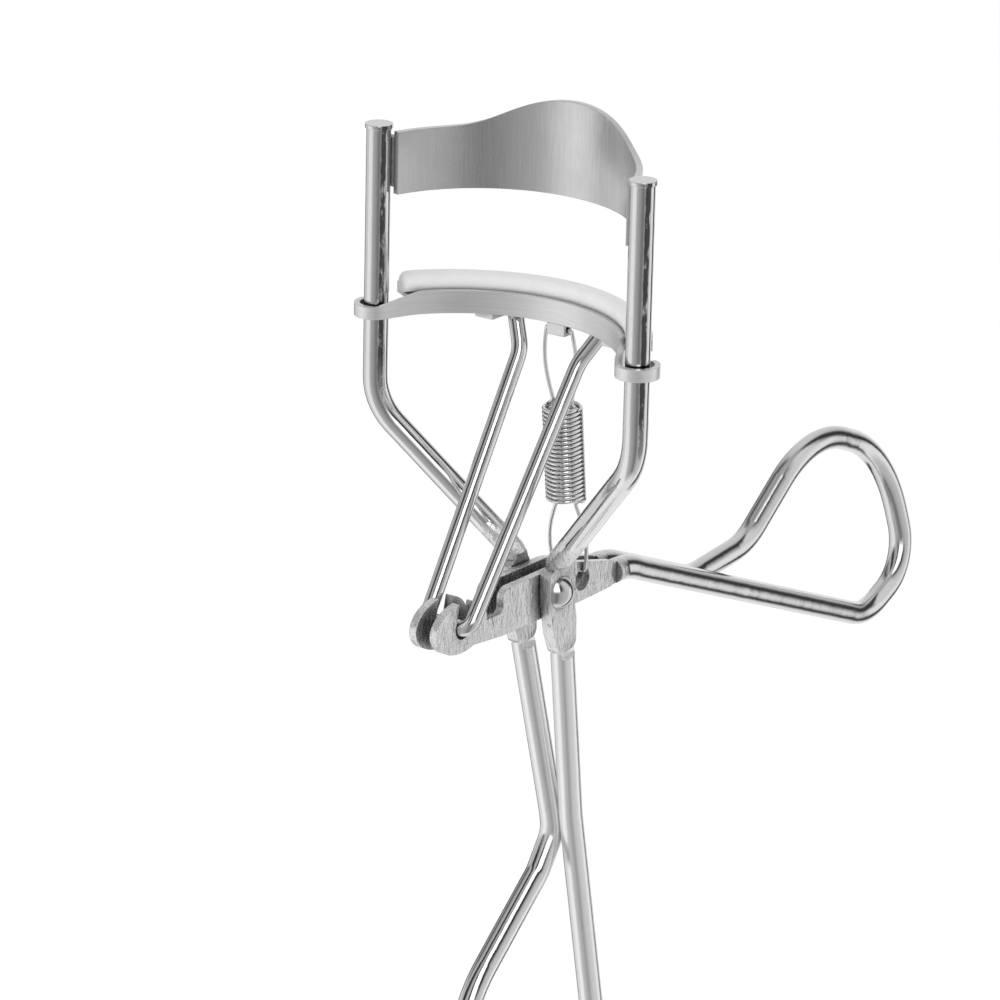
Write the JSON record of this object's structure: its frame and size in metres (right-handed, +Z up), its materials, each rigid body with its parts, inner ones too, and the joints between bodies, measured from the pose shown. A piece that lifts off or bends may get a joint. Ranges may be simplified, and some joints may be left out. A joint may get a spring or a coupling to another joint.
{
  "type": "eyelash curler",
  "caption": "Hand-held wire eyelash curler: a sprung lever with a finger loop lifts a padded clamp bar along two posts to a fixed curved plate.",
  "frame": {"origin": "on the axis of the rivet that joins the two handles, midway between its heads", "axes": "+Z runs up the two posts to the fixed plate, +Y points away from the face towards the moving handle, +X to the right as the face sees it"},
  "size_m": [0.0376, 0.0911, 0.1247],
  "materials": {
    "chrome_wire": "polished, with faint draw lines",
    "brushed_plate": "satin, brushed from edge to edge",
    "weld_metal": "dull bead",
    "satin_bar": "satin",
    "soft_pad": "soft matt white",
    "chrome_rod": "polished",
    "spring_steel": "bright drawn wire",
    "chrome_lever": "polished wire with satin flats",
    "rivet_metal": "mirror"
  },
  "bodies": {
    "frame": {"frame_wire": "chrome_wire", "top_plate": "brushed_plate", "left_plate_weld": "weld_metal", "right_plate_weld": "weld_metal", "pivot_rivet": "rivet_metal", "return_spring": "spring_steel"},
    "lever": {"lever_wire": "chrome_lever"},
    "clamp": {"clamp_bar": "satin_bar", "lash_pad": "soft_pad"},
    "pushrod": {"pushrod_wire": "chrome_rod"}
  },
  "joints": [
    {"name": "lever_swing", "type": "hinge", "parent": "frame", "child": "lever", "pos_m": [0, 0, 0], "axis": [-1, 0, 0], "range_deg": [0, 28.8]},
    {"name": "clamp_slide", "type": "slide", "parent": "frame", "child": "clamp", "axis": [0, 0, 1], "range_m": [0, 0.0086], "deforming": ["return_spring"]},
    {"name": "pushrod_swing", "type": "hinge", "parent": "clamp", "child": "pushrod", "pos_m": [0, 0.0031, 0.02875], "axis": [1, 0, 0], "range_deg": [0, 3.8]}
  ],
  "couplings": [
    {"joint": "clamp_slide", "follows": "lever_swing", "m_per_rad": 0.01703},
    {"joint": "pushrod_swing", "follows": "lever_swing", "ratio": 0.12976}
  ]
}
